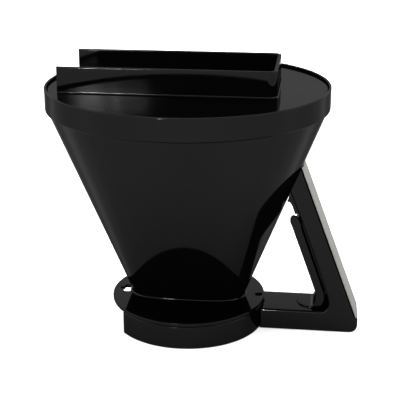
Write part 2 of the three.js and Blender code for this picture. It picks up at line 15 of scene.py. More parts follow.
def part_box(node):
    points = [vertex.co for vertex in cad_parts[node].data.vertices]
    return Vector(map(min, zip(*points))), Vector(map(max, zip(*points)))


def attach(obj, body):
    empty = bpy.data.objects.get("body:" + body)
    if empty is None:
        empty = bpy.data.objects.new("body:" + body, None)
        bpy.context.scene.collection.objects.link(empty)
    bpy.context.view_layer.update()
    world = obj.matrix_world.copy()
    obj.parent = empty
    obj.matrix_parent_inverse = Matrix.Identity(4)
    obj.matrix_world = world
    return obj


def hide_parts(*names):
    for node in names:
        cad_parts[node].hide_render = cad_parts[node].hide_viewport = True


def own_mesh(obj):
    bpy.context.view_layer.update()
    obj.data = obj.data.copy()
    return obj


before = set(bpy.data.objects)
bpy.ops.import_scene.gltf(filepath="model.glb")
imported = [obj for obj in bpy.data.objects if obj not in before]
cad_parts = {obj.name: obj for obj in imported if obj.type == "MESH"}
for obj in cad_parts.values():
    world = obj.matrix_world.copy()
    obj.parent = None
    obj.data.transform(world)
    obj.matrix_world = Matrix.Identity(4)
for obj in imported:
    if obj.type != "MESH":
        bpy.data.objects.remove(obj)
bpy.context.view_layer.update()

# ------------------------------------------------------------------ sizes

CONE_LOW, CONE_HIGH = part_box("filter_cone")
HANDLE_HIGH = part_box("collar_handle")[1]
LID_LOW, LID_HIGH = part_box("lid")
HOUSING_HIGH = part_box("valve_housing")[1]
COVER_LOW, COVER_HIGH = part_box("arm_cover")
TRIM_LOW, TRIM_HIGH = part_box("grip_trim")
LEVER_LOW, LEVER_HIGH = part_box("squeeze_lever")

GAP = 0.0003
JOIN = 0.0002  # how far two shapes of one moulding run into each other
BROKEN_EDGE = 0.0002
PAST = 0.001  # how far a cutting tool reaches past the surface that it cuts
TOOL_EDGE = 0.0001  # rounding of the cutting tools
AXIS_X = (CONE_LOW.x + CONE_HIGH.x) / 2  # the cone's axis is along Z at this x, y = 0

RIM_R = (CONE_HIGH.x - CONE_LOW.x) / 2
RIM_Z = CONE_HIGH.z
BAND_H = 0.011
BAND_T = 0.0013
LEDGE_R = 0.0664
LEDGE_Z = RIM_Z - 0.0036
LEDGE_H = 0.0044

CONE_TOP_R = RIM_R - 0.0012
CONE_TOP_Z = RIM_Z - BAND_H
CONE_FOOT_R = 0.0115
CONE_FOOT_X = 0.0175
CONE_FOOT_Z = 0.013
CONE_WALL = 0.0022
FACE_SOFTNESS = 0.35  # how gently the cone's flat faces bend into its round ends
RIBS = 12
RIB_H = 0.0011
RIB_W = 0.0018

FLANGE_R = 0.0398
FLANGE_T = 0.0018
FLANGE_UNDER = HOUSING_HIGH.z + GAP
FLANGE_Z = FLANGE_UNDER + FLANGE_T
OUTLET_R = 0.0032
SPIGOT_R = 0.0074
SPIGOT_WALL = 0.0022
SPIGOT_LOW = FLANGE_UNDER - 0.0018
SCREW_POST_R = 0.0032  # posts under the flange, which take the collar's screws
SCREW_POST_BORE_R = 0.0014
SCREW_POST_LOW = 0.0071
PEG_X = 0.037
PEG_HOLE_R = 0.002
PEG_SEAT_R = PEG_HOLE_R - 0.0002
PEG_R = PEG_HOLE_R - 0.0004
PEG_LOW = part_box("locating_peg")[0].z
PEG_BOSS_R = 0.0034
PEG_BOSS_LOW = 0.0082

COLLAR_R = 0.0396
COLLAR_T = 0.002
COLLAR_H = FLANGE_UNDER - GAP
COLLAR_OPENING = 0.0496
ARM_ROOT_R = COLLAR_R - 0.001  # the arm runs into the collar's wall as far as this
COLLAR_SCREW_R = 0.0325
COLLAR_SCREW_ANGLES = (40, 125, -125, -40)
TAB_R = 0.0042
TAB_BORE_R = 0.0015
TAB_LOW = 0.0048
TAB_HIGH = 0.0068
TAB_HALF_W = 0.003

HANDLE_W = TRIM_HIGH.y - TRIM_LOW.y
HANDLE_REACH = HANDLE_HIGH.x - AXIS_X
ARM_TOP = 0.0111
ARM_WALL = 0.0018
ARM_START = COVER_LOW.x - GAP - AXIS_X
ARM_END = COVER_HIGH.x + GAP - AXIS_X
SIDE_WALL = 0.0022
HANDLE_EDGE = 0.0011
GRIP_TOP = Vector((0.0588, 0.0857))
GRIP_FOOT = Vector((0.0880, 0.0085))
TRIM_T = 0.0006
GRIP_BACK = 0.0015
POCKET_TOP = 0.066
GRIP_INNER_TOP = (0.0521, 0.075)
GRIP_INNER_BEND = (0.0628, 0.0496)
GRIP_INNER_FOOT = (0.0732, 0.0176)
WEB_W = 0.017
FOOT_X = 0.065
PIVOT_X = 0.0635
PIVOT_Z = 0.056
PIN_HOLE_R = 0.00105
PIN_WALL = 0.0008  # left at the closed end of the pin's bore
LEVER_FOOT_LOW = 0.0108
LEVER_FOOT_HIGH = 0.0116
FOOT_RECESS_Z = 0.0102
CONE_CLEARANCE = 0.00035
TRIM_CLEARANCE = 0.0004
LATCH_HALF_W = 0.0051
LATCH_WAY_LOW = 0.0026
LATCH_WAY_HIGH = 0.0072
LATCH_WAY_START = 0.030
LATCH_WAY_END = 0.045
LATCH_COIL_R = 0.0015
LATCH_WIRE_R = 0.00024
LATCH_TURNS = 6
VALVE_COIL_R = 0.0041
VALVE_WIRE_R = 0.00029
VALVE_TURNS = 2.5

LID_R = (LID_HIGH.x - LID_LOW.x) / 2
LID_T = 0.002
LID_UNDER = LEDGE_Z + GAP
LID_Z = LID_UNDER + LID_T
FENCE_OPEN_X = -0.060
FENCE_CLOSED_X = 0.045
FENCE_W = 0.0478
FENCE_T = 0.0018
FENCE_TOP = LID_HIGH.z
FENCE_CORNER = 0.0045
SHOWER_HOLES = 6
SHOWER_RING_R = 0.009
SHOWER_HOLE_R = 0.0019

AROUND = 256  # steps round a large circle
COIL_STEPS = 32  # steps in one turn of a spring
WIRE_STEPS = 10  # steps round a spring's wire


# ------------------------------------------------------------------ mesh tools

def weighted(mesh):
    """Lets the large faces decide the normals, so that flats next to a fillet stay flat."""
    holder = bpy.data.objects.new(mesh.name, mesh)
    bpy.context.scene.collection.objects.link(holder)
    modifier = holder.modifiers.new("weights", "WEIGHTED_NORMAL")
    modifier.mode = "FACE_AREA"
    modifier.weight = 100
    modifier.keep_sharp = True
    bpy.context.view_layer.update()
    result = bpy.data.meshes.new_from_object(
        holder.evaluated_get(bpy.context.evaluated_depsgraph_get())
    )
    name = mesh.name
    bpy.data.objects.remove(holder)
    bpy.data.meshes.remove(mesh)
    result.name = name
    return result


def make_object(name, mesh, body, material, replaces=()):
    """Puts a finished mesh in the scene, riding on its body."""
    mesh = weighted(mesh)
    piece = bpy.data.objects.new(name, mesh)
    bpy.context.scene.collection.objects.link(piece)
    mesh.materials.append(material)
    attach(piece, body)
    if replaces:
        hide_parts(*replaces)
    return piece


def finish_mesh(bm, name, sharp_angle=38):
    """Cleans a bmesh, points its faces out, and smooths all but its sharp edges."""
    bmesh.ops.remove_doubles(bm, verts=bm.verts, dist=1e-7)
    bmesh.ops.dissolve_degenerate(bm, edges=bm.edges, dist=1e-7)
    bmesh.ops.recalc_face_normals(bm, faces=bm.faces)
    limit = math.radians(sharp_angle)
    for face in bm.faces:
        face.smooth = True
    for edge in bm.edges:
        edge.smooth = edge.calc_face_angle(0) < limit
    mesh = bpy.data.meshes.new(name)
    bm.to_mesh(mesh)
    bm.free()
    return mesh


def add_rings(bm, rings, round_section=True, closed_path=False):
    """Joins rings of points with quads. An open path gets a cap on each end."""
    rows = [[bm.verts.new(point) for point in ring] for ring in rings]
    count = len(rows[0])
    pairs = list(zip(rows, rows[1:]))
    if closed_path:
        pairs.append((rows[-1], rows[0]))
    for row, after in pairs:
        for i in range(count if round_section else count - 1):
            j = (i + 1) % count
            bm.faces.new((row[i], row[j], after[j], after[i]))
    if not closed_path:
        bm.faces.new(list(reversed(rows[0])))
        bm.faces.new(rows[-1])


def arc(cx, cy, radius, start, end, steps=6):
    """Points of an arc from one angle to another, in degrees."""
    points = []
    for i in range(steps + 1):
        angle = math.radians(start + (end - start) * i / steps)
        points.append((cx + radius * math.cos(angle), cy + radius * math.sin(angle)))
    return points


def lathe(bm, profile, x=0.0, y=0.0, steps=48):
    """Revolves a closed outline of (radius, z) about the upright line at x, y."""
    rings = []
    for i in range(steps):
        angle = 2 * math.pi * i / steps
        across = Vector((math.cos(angle), math.sin(angle), 0))
        rings.append([Vector((x, y, z)) + across * r for r, z in profile])
    add_rings(bm, rings, closed_path=True)


def rounded_outline(points, radius, steps=5):
    """A closed outline with each corner rounded. A point may carry its own radius."""
    corners = [(Vector(p[:2]), p[2] if len(p) > 2 else radius) for p in points]
    result = []
    for i, (corner, r) in enumerate(corners):
        before = corners[i - 1][0]
        after = corners[(i + 1) % len(corners)][0]
        to_before = (before - corner).normalized()
        to_after = (after - corner).normalized()
        half = to_before.angle(to_after) / 2
        if r <= 0 or abs(half - math.pi / 2) < 0.01:
            result.append(tuple(corner))
            continue
        reach = min(r / math.tan(half), 0.49 * (before - corner).length,
                    0.49 * (after - corner).length)
        r = reach * math.tan(half)
        middle = corner + (to_before + to_after).normalized() * (r / math.sin(half))
        start = corner + to_before * reach - middle
        end = corner + to_after * reach - middle
        turn = start.angle_signed(end)
        for k in range(steps + 1):
            result.append(tuple(middle + Matrix.Rotation(-turn * k / steps, 2) @ start))
    return result


def plate_mesh(name, outlines, low, high, bevel, upright=True):
    """A plate with rounded edges. Outlines after the first are holes.

    With upright the outlines are in plan (x, y) and low and high are heights. Otherwise
    they are in the side view (x, z), and low and high are along Y.
    """
    data = bpy.data.curves.new(name, "CURVE")
    data.dimensions = "2D"
    data.fill_mode = "BOTH"
    data.extrude = (high - low) / 2 - bevel
    data.bevel_depth = bevel
    data.bevel_resolution = 3
    data.offset = -bevel
    for points in outlines:
        spline = data.splines.new("POLY")
        spline.points.add(len(points) - 1)
        for target, (u, v) in zip(spline.points, points):
            target.co = (u, v, 0, 1)
        spline.use_cyclic_u = True
    holder = bpy.data.objects.new(name, data)
    bpy.context.scene.collection.objects.link(holder)
    bpy.context.view_layer.update()
    solid = bpy.data.meshes.new_from_object(
        holder.evaluated_get(bpy.context.evaluated_depsgraph_get())
    )
    bpy.data.objects.remove(holder)
    bpy.data.curves.remove(data)
    middle = (low + high) / 2
    if upright:
        solid.transform(Matrix.Translation((0, 0, middle)))
    else:
        turn = Matrix.Rotation(math.pi / 2, 4, "X")
        solid.transform(Matrix.Translation((0, middle, 0)) @ turn)
    solid.transform(Matrix.Translation((AXIS_X, 0, 0)))
    bm = bmesh.new()
    bm.from_mesh(solid)
    bpy.data.meshes.remove(solid)
    bmesh.ops.remove_doubles(bm, verts=bm.verts, dist=2e-6)
    return finish_mesh(bm, name)


def circle(radius, x=0.0, y=0.0, steps=48):
    """A circle as a closed outline."""
    return arc(x, y, radius, 0, 360 * (1 - 1 / steps), steps - 1)


def merged(name, meshes):
    """Several closed meshes in one piece."""
    bm = bmesh.new()
    for mesh in meshes:
        bm.from_mesh(mesh)
        bpy.data.meshes.remove(mesh)
    result = bpy.data.meshes.new(name)
    bm.to_mesh(result)
    bm.free()
    return result


def box_mesh(low, high, name="tool"):
    """A plain box, used only to cut other meshes."""
    bm = bmesh.new()
    bmesh.ops.create_cube(bm, size=1)
    size = Vector(high) - Vector(low)
    middle = (Vector(high) + Vector(low)) / 2 + Vector((AXIS_X, 0, 0))
    for vertex in bm.verts:
        vertex.co = Vector(a * b for a, b in zip(vertex.co, size)) + middle
    mesh = bpy.data.meshes.new(name)
    bm.to_mesh(mesh)
    bm.free()
    return mesh


def cut_mesh(mesh, tools, operation="DIFFERENCE"):
    """Cuts the tool meshes out of a mesh, or joins them to it."""
    target = bpy.data.objects.new("cutting", mesh)
    bpy.context.scene.collection.objects.link(target)
    helpers = []
    for tool in tools:
        helper = bpy.data.objects.new("cutter", tool)
        bpy.context.scene.collection.objects.link(helper)
        helpers.append(helper)
        modifier = target.modifiers.new("cut", "BOOLEAN")
        modifier.operation = operation
        modifier.solver = "EXACT"
        modifier.object = helper
    bpy.context.view_layer.update()
    result = bpy.data.meshes.new_from_object(
        target.evaluated_get(bpy.context.evaluated_depsgraph_get())
    )
    result.name = mesh.name
    for helper in helpers:
        tool = helper.data
        bpy.data.objects.remove(helper)
        bpy.data.meshes.remove(tool)
    bpy.data.objects.remove(target)
    bpy.data.meshes.remove(mesh)
    bm = bmesh.new()
    bm.from_mesh(result)
    name = result.name
    bpy.data.meshes.remove(result)
    return finish_mesh(bm, name, 30)


# ------------------------------------------------------------------ materials

def new_material(name):
    """A material with its node tree, its shader and its texture coordinates."""
    material = bpy.data.materials.new(name)
    material.use_nodes = True
    tree = material.node_tree
    shader = tree.nodes["Principled BSDF"]
    place = tree.nodes.new("ShaderNodeTexCoord")
    return material, tree, shader, place


def noise(tree, place, scale, detail=4.0, stretch=(1, 1, 1), turn=0.0):
    """Noise fixed to the piece. Stretch and turn make streaks of it."""
    mapping = tree.nodes.new("ShaderNodeMapping")
    mapping.inputs["Scale"].default_value = stretch
    mapping.inputs["Rotation"].default_value = (0, turn, 0)
    tree.links.new(place.outputs["Object"], mapping.inputs["Vector"])
    texture = tree.nodes.new("ShaderNodeTexNoise")
    texture.inputs["Scale"].default_value = scale
    texture.inputs["Detail"].default_value = detail
    tree.links.new(mapping.outputs["Vector"], texture.inputs["Vector"])
    return texture


def between(tree, value, low, high, start=0.3, end=0.7):
    """Maps values from start to end onto low to high."""
    node = tree.nodes.new("ShaderNodeMapRange")
    node.inputs["From Min"].default_value = start
    node.inputs["From Max"].default_value = end
    node.inputs["To Min"].default_value = low
    node.inputs["To Max"].default_value = high
    tree.links.new(value, node.inputs["Value"])
    return node.outputs["Result"]


def mixed_colour(tree, factor, dark, light):
    """A colour between dark and light."""
    node = tree.nodes.new("ShaderNodeMix")
    node.data_type = "RGBA"
    node.inputs[6].default_value = (*dark, 1)
    node.inputs[7].default_value = (*light, 1)
    tree.links.new(factor, node.inputs[0])
    return node.outputs[2]


def add_bump(tree, shader, height, distance, strength=1.0):
    """Fine relief, no deeper than distance."""
    bump = tree.nodes.new("ShaderNodeBump")
    bump.inputs["Strength"].default_value = strength
    bump.inputs["Distance"].default_value = distance
    tree.links.new(height, bump.inputs["Height"])
    tree.links.new(bump.outputs["Normal"], shader.inputs["Normal"])


# How strong the gloss is from face on (0) to edge on (1).
SHEEN = [
    (0.0, 0.26), (0.33, 0.134), (0.42, 0.070), (0.5, 0.037), (0.6, 0.0195), (0.674, 0.0165),
    (0.75, 0.003), (0.82, 0.0006), (1.0, 0.0001),
]


PLASTIC_COLOUR = (0.0004, 0.0004, 0.00045)
DUST_COLOUR = (0.012, 0.012, 0.0115)
PLASTIC_IOR = 1.24


def gloss_black():
    """Polished black plastic: slow flow ripples, faint haze and a few specks of dust."""
    material, tree, shader, place = new_material("gloss_black")
    haze = noise(tree, place, 60, 5)
    dust = tree.nodes.new("ShaderNodeTexVoronoi")
    dust.inputs["Scale"].default_value = 420
    tree.links.new(place.outputs["Object"], dust.inputs["Vector"])
    patchy = noise(tree, place, 25, 2)
    speck = tree.nodes.new("ShaderNodeMath")
    speck.operation = "MULTIPLY"
    tree.links.new(between(tree, dust.outputs["Distance"], 1, 0, 0.03, 0.07), speck.inputs[0])
    tree.links.new(between(tree, patchy.outputs["Fac"], 0, 1, 0.52, 0.7), speck.inputs[1])
    colour = mixed_colour(tree, speck.outputs[0], PLASTIC_COLOUR, DUST_COLOUR)
    tree.links.new(colour, shader.inputs["Base Color"])
    tree.links.new(between(tree, haze.outputs["Fac"], 0.04, 0.09), shader.inputs["Roughness"])
    shader.inputs["IOR"].default_value = PLASTIC_IOR
    facing = tree.nodes.new("ShaderNodeLayerWeight")
    ramp = tree.nodes.new("ShaderNodeValToRGB")
    stops = ramp.color_ramp.elements
    stops[0].position, stops[1].position = SHEEN[0][0], SHEEN[-1][0]
    for position, _ in SHEEN[1:-1]:
        stops.new(position)
    for stop, (_, level) in zip(stops, SHEEN):
        stop.color = (level, level, level, 1)
    tree.links.new(facing.outputs["Facing"], ramp.inputs["Fac"])
    tree.links.new(ramp.outputs["Color"], shader.inputs["Specular IOR Level"])
    ripple = noise(tree, place, 90, 1)
    add_bump(tree, shader, ripple.outputs["Fac"], 0.00001)
    return material


TRIM_DARK = (0.19, 0.19, 0.184)
TRIM_LIGHT = (0.236, 0.236, 0.227)
TRIM_EDGE_TINT = (0.26, 0.26, 0.255)


def satin_aluminium():
    """Anodised strip with fine brush lines along its length."""
    material, tree, shader, place = new_material("satin_aluminium")
    slope = math.atan2(GRIP_FOOT.x - GRIP_TOP.x, GRIP_TOP.y - GRIP_FOOT.y)
    lines = noise(tree, place, 1.0, 6, (250, 5200, 22), slope)
    broad = noise(tree, place, 45, 3)
    colour = mixed_colour(
        tree, between(tree, lines.outputs["Fac"], 0, 1), TRIM_DARK, TRIM_LIGHT
    )
    tree.links.new(colour, shader.inputs["Base Color"])
    tree.links.new(between(tree, broad.outputs["Fac"], 0.32, 0.42), shader.inputs["Roughness"])
    shader.inputs["Metallic"].default_value = 1.0
    shader.inputs["Specular Tint"].default_value = (*TRIM_EDGE_TINT, 1)
    add_bump(tree, shader, lines.outputs["Fac"], 0.000012, 0.6)
    return material


def moulded(name, dark, light, rough, grain, depth):
    """Plain moulded plastic or rubber with a fine grain and slight colour variation."""
    material, tree, shader, place = new_material(name)
    broad = noise(tree, place, 70, 4)
    fine = noise(tree, place, grain, 3)
    colour = mixed_colour(tree, between(tree, broad.outputs["Fac"], 0, 1), dark, light)
    tree.links.new(colour, shader.inputs["Base Color"])
    tree.links.new(
        between(tree, fine.outputs["Fac"], rough - 0.06, rough + 0.06), shader.inputs["Roughness"]
    )
    add_bump(tree, shader, fine.outputs["Fac"], depth)
    return material


def drawn_steel():
    """Bright steel with turning or drawing marks."""
    material, tree, shader, place = new_material("drawn_steel")
    marks = noise(tree, place, 1.0, 5, (900, 900, 5200))
    colour = mixed_colour(
        tree, between(tree, marks.outputs["Fac"], 0, 1), (0.42, 0.43, 0.44), (0.58, 0.59, 0.60)
    )
    tree.links.new(colour, shader.inputs["Base Color"])
    tree.links.new(between(tree, marks.outputs["Fac"], 0.2, 0.34), shader.inputs["Roughness"])
    shader.inputs["Metallic"].default_value = 1.0
    add_bump(tree, shader, marks.outputs["Fac"], 0.000008)
    return material


BLACK = gloss_black()
ALUMINIUM = satin_aluminium()
COVER_BLACK = moulded("spark_black", (0.006, 0.006, 0.006), (0.010, 0.010, 0.010), 0.5, 2600, 0.00003)
GREY = moulded("natural_grey", (0.22, 0.23, 0.235), (0.28, 0.29, 0.295), 0.42, 1500, 0.00001)
SILICONE = moulded("silicone", (0.22, 0.036, 0.020), (0.28, 0.048, 0.028), 0.62, 900, 0.00002)
STEEL = drawn_steel()


# ------------------------------------------------------------------ filter cone

def cone_section(z):
    """Radius of the round ends and distance of their centres at a height."""
    share = min((z - CONE_FOOT_Z) / (CONE_TOP_Z - CONE_FOOT_Z), 1)
    radius = CONE_FOOT_R + (CONE_TOP_R - CONE_FOOT_R) * share
    return radius, CONE_FOOT_X * (1 - share)


def cone_point(angle, z, offset):
    """A point on the cone's wall. The two round ends run smoothly into a nearly flat face."""
    radius, middle = cone_section(z)
    cosine = math.cos(angle)
    side = cosine / math.hypot(cosine, FACE_SOFTNESS) * math.hypot(1, FACE_SOFTNESS)
    return Vector((
        AXIS_X + side * middle + (radius + offset) * cosine,
        (radius + offset) * math.sin(angle),
        z,
    ))


def cone_reach(y, z, offset=0.0):
    """How far the cone reaches towards +X, from its axis, at y and z."""
    radius, middle = cone_section(z)
    return middle + math.sqrt((radius + offset) ** 2 - y ** 2)


def cone_profile():
    """The wall's outline as (height, offset from the cone's surface), all the way round."""
    top = RIM_R - CONE_TOP_R
    fillet = 0.0016
    profile = [(FLANGE_Z - 0.0003, fillet)]
    for x, z in arc(fillet, FLANGE_Z + fillet, fillet, 270, 180, 6):
        profile.append((z, x))
    levels = 36
    low = FLANGE_Z + fillet
    high = CONE_TOP_Z - 0.0006
    for i in range(1, levels + 1):
        profile.append((low + (high - low) * i / levels, 0.0))
    lip = 0.0007
    profile += [(CONE_TOP_Z - 0.0003, 0.00008), (CONE_TOP_Z - 0.0001, 0.00025)]
    for x, z in arc(top - lip, CONE_TOP_Z + lip, lip, -60, 0, 4):
        profile.append((z, x))
    edge = 0.0005
    for i in range(1, 6):
        profile.append((CONE_TOP_Z + lip + (RIM_Z - edge - CONE_TOP_Z - lip) * i / 6, top))
    for x, z in arc(top - edge, RIM_Z - edge, edge, 0, 90, 5):
        profile.append((z, x))
    inner = top - BAND_T
    small = 0.0003
    for x, z in arc(inner + small, RIM_Z - small, small, 90, 180, 4):
        profile.append((z, x))
    ledge = LEDGE_R - CONE_TOP_R
    profile += [(LEDGE_Z + 0.0002, inner), (LEDGE_Z, inner - 0.0002)]
    for x, z in arc(ledge + small, LEDGE_Z - small, small, 90, 180, 4):
        profile.append((z, x))
    profile += [(LEDGE_Z - LEDGE_H, ledge), (CONE_TOP_Z - 0.002, -CONE_WALL)]
    for i in range(1, levels):
        profile.append((CONE_TOP_Z - 0.002 - (CONE_TOP_Z - 0.002 - FLANGE_Z) * i / levels,
                        -CONE_WALL))
    profile.append((FLANGE_Z - 0.0003, -CONE_WALL))
    return profile


def cone_shell():
    """The cone's wall with its rim band, in one closed sweep."""
    bm = bmesh.new()
    rings = []
    for z, offset in cone_profile():
        angles = [2 * math.pi * (i + 0.5) / AROUND for i in range(AROUND)]
        rings.append([cone_point(angle, z, offset) for angle in angles])
    add_rings(bm, rings, closed_path=True)
    return finish_mesh(bm, "filter_cone_shell", 50)


def cone_ribs():
    """Rounded ribs down the inside, which keep the paper off the wall."""
    bm = bmesh.new()
    low = 0.016
    high = 0.106
    for rib in range(RIBS):
        angle = 2 * math.pi * (rib + 0.5) / RIBS
        across = Vector((-math.sin(angle), math.cos(angle), 0))
        rings = []
        for step in range(21):
            z = low + (high - low) * step / 20
            swell = min(1, 6 * step / 20, 6 * (20 - step) / 20) ** 0.5
            middle = cone_point(angle, z, -CONE_WALL + 0.0003)
            inward = cone_point(angle, z, -CONE_WALL - RIB_H * swell) - middle
            ring = []
            for k in range(9):
                turn = math.pi * k / 8
                ring.append(middle + across * (RIB_W / 2 * math.cos(turn))
                            + inward * math.sin(turn))
            rings.append(ring)
        add_rings(bm, rings)
    return finish_mesh(bm, "cone_ribs", 60)


def keyhole():
    """Outline of the slot in the flange: a wide part and a narrow tail outwards."""
    x = -0.0326
    half = 0.002
    wide = 0.004
    tail = -0.0364
    narrow = 0.0013
    return rounded_outline([
        (x + half, -wide, 0.0012),
        (x + half, wide, 0.0012),
        (x - half, wide, 0.0012),
        (x - half, narrow, 0.0003),
        (tail, narrow, 0.0011),
        (tail, -narrow, 0.0011),
        (x - half, -narrow, 0.0003),
        (x - half, -wide, 0.0012),
    ], 0.001)


def base_flange():
    """The flange with its holes, the spigot under the outlet and the screw posts."""
    plate = plate_mesh("base_flange", [
        circle(FLANGE_R, steps=160),
        keyhole(),
        circle(PEG_HOLE_R, PEG_X, steps=32),
        circle(OUTLET_R, steps=40),
    ], FLANGE_UNDER, FLANGE_Z, 0.0003)
    edge = 0.0003
    top = FLANGE_UNDER + JOIN
    under = bmesh.new()
    lathe(under, [
        (SPIGOT_R - SPIGOT_WALL, SPIGOT_LOW),
        (SPIGOT_R - edge, SPIGOT_LOW),
        (SPIGOT_R, SPIGOT_LOW + edge),
        (SPIGOT_R, top),
        (SPIGOT_R - SPIGOT_WALL, top),
    ], AXIS_X)
    for x, y in collar_screw_places():
        lathe(under, [
            (SCREW_POST_BORE_R, SCREW_POST_LOW),
            (SCREW_POST_R - BROKEN_EDGE, SCREW_POST_LOW),
            (SCREW_POST_R, SCREW_POST_LOW + BROKEN_EDGE),
            (SCREW_POST_R, top),
            (SCREW_POST_BORE_R, top),
        ], AXIS_X + x, y, 32)
    return merged("base_flange", [plate, finish_mesh(under, "under")])


def collar_screw_places():
    """Where the collar's screws stand, from the cone's axis."""
    places = []
    for degrees in COLLAR_SCREW_ANGLES:
        angle = math.radians(degrees)
        places.append((COLLAR_SCREW_R * math.cos(angle), COLLAR_SCREW_R * math.sin(angle)))
    return places


make_object("filter_cone_shell", cone_shell(), "holder", BLACK, ["filter_cone"])
make_object("cone_ribs", cone_ribs(), "holder", BLACK, ["filter_cone"])
make_object("base_flange", base_flange(), "holder", BLACK, ["filter_cone"])


# ------------------------------------------------------------------ lid

def lid_deck():
    """The lid's plate with its shower holes, and the ring below that centres it."""
    holes = [circle(SHOWER_HOLE_R, steps=32)]
    for i in range(SHOWER_HOLES):
        angle = 2 * math.pi * i / SHOWER_HOLES
        holes.append(circle(SHOWER_HOLE_R, SHOWER_RING_R * math.cos(angle),
                            SHOWER_RING_R * math.sin(angle), 32))
    deck = plate_mesh("lid_deck", [circle(LID_R, steps=AROUND), *holes],
                      LID_UNDER, LID_Z, 0.00035)
    ring = bmesh.new()
    outer = LEDGE_R - GAP
    inner = outer - 0.0015
    edge = 0.0004
    lathe(ring, [
        (inner, LID_UNDER + JOIN),
        (inner, LID_LOW.z + edge),
        (inner + edge, LID_LOW.z),
        (outer - edge, LID_LOW.z),
        (outer, LID_LOW.z + edge),
        (outer, LID_UNDER + JOIN),
    ], AXIS_X, 0, AROUND)
    return merged("lid_deck", [deck, finish_mesh(ring, "ring")])


def fence_path():
    """Centre line of the fence, from its open end round the closed end, with normals."""
    half = FENCE_W / 2 - FENCE_T / 2
    end = FENCE_CLOSED_X - FENCE_T / 2
    r = FENCE_CORNER - FENCE_T / 2
    start = FENCE_OPEN_X
    path = []
    straight = 12
    for i in range(straight):
        share = i / straight
        path.append(((start + (end - r - start) * share, -half), (0, -1)))
    for i in range(9):
        angle = math.radians(-90 + 90 * i / 8)
        out = (math.cos(angle), math.sin(angle))
        path.append(((end - r + r * out[0], -half + r + r * out[1]), out))
    for i in range(1, 5):
        path.append(((end, -half + r + (2 * half - 2 * r) * i / 5), (1, 0)))
    mirrored = [((x, -y), (nx, -ny)) for (x, y), (nx, ny) in reversed(path) if y <= -half + r]
    return path + mirrored


def lid_fence():
    """The U-shaped wall on the lid, with a rounded top and a small fillet at its foot."""
    t = FENCE_T / 2
    r = 0.0005
    f = 0.0007
    section = [(-t - f, LID_Z - 0.0001)]
    section += [(-x, z) for x, z in reversed(arc(t + f, LID_Z + f, f, 180, 270, 4))]
    section += [(-x, z) for x, z in arc(t - r, FENCE_TOP - r, r, 0, 90, 4)]
    section += arc(t - r, FENCE_TOP - r, r, 90, 0, 4)
    section += arc(t + f, LID_Z + f, f, 180, 270, 4)
    section += [(t + f, LID_Z - 0.0001)]
    bm = bmesh.new()
    rings = []
    for (x, y), (nx, ny) in fence_path():
        rings.append([Vector((AXIS_X + x + nx * u, y + ny * u, z)) for u, z in section])
    add_rings(bm, rings)
    return finish_mesh(bm, "lid_fence")


make_object("lid_deck", lid_deck(), "lid", BLACK, ["lid"])
make_object("lid_fence", lid_fence(), "lid", BLACK, ["lid"])


# ------------------------------------------------------------------ collar and handle

GRIP_ALONG = (GRIP_FOOT - GRIP_TOP).normalized()
GRIP_IN = Vector((GRIP_ALONG.y, -GRIP_ALONG.x))
TRIM_SEAT = TRIM_T + GAP
HALF_W = HANDLE_W / 2
HALF_POCKET = HALF_W - SIDE_WALL


def grip_point(z, depth):
    """A point at height z and at a depth behind the grip's outer line."""
    reach = (z - GRIP_TOP.y - GRIP_IN.y * depth) / GRIP_ALONG.y
    return (GRIP_TOP.x + GRIP_ALONG.x * reach + GRIP_IN.x * depth, z)


def bezier(a, b, c, steps):
    """A curve from a to c that leans towards b."""
    points = []
    for i in range(steps + 1):
        t = i / steps
        points.append(tuple(
            (1 - t) ** 2 * p + 2 * t * (1 - t) * q + t * t * r for p, q, r in zip(a, b, c)
        ))
    return points


def handle_outline():
    """Side view of arm and grip. Its ends run into the collar and into the cone."""
    corner = 0.004
    inside = 0.048  # inside the cone, which is cut away later
    top = GRIP_TOP.y + 0.002
    inner_corner = (0.074, ARM_TOP)
    seat_z = GRIP_FOOT.y - TRIM_CLEARANCE
    seat_x = grip_point(seat_z, TRIM_SEAT)[0]
    points = [(ARM_ROOT_R, 0)]
    points += arc(HANDLE_REACH - corner, corner, corner, -90, 0, 8)
    points += [(HANDLE_REACH, seat_z - 0.001), (HANDLE_REACH - 0.0003, seat_z), (seat_x, seat_z)]
    points += [grip_point(top, TRIM_SEAT), (inside, top), (inside, 0.079)]
    points += bezier(GRIP_INNER_TOP, GRIP_INNER_BEND, GRIP_INNER_FOOT, 16)
    points += bezier(GRIP_INNER_FOOT, inner_corner, (0.069, ARM_TOP), 8)[1:]
    points += [(ARM_ROOT_R, ARM_TOP)]
    return points


def cone_cutter(offset):
    """The cone's outside as a solid, a little larger, to cut the grip and its web to it."""
    bm = bmesh.new()
    rings = []
    for i in range(7):
        z = CONE_FOOT_Z + (CONE_TOP_Z - CONE_FOOT_Z) * i / 6
        angles = [2 * math.pi * (k + 0.5) / AROUND for k in range(AROUND)]
        rings.append([cone_point(angle, z, offset) for angle in angles])
    add_rings(bm, rings)
    return finish_mesh(bm, "cone_cutter")


def peg_seat():
    """A tool that cuts the seat of the locating peg."""
    outline = circle(PEG_SEAT_R, PEG_X, steps=40)
    return plate_mesh("peg_seat", [outline], PEG_LOW - GAP, COLLAR_H + PAST, TOOL_EDGE)


def latch_way(end):
    """A tool that cuts the way of the latch, from inside the collar to an x."""
    return box_mesh((LATCH_WAY_START, -LATCH_HALF_W, LATCH_WAY_LOW),
                    (end, LATCH_HALF_W, LATCH_WAY_HIGH))


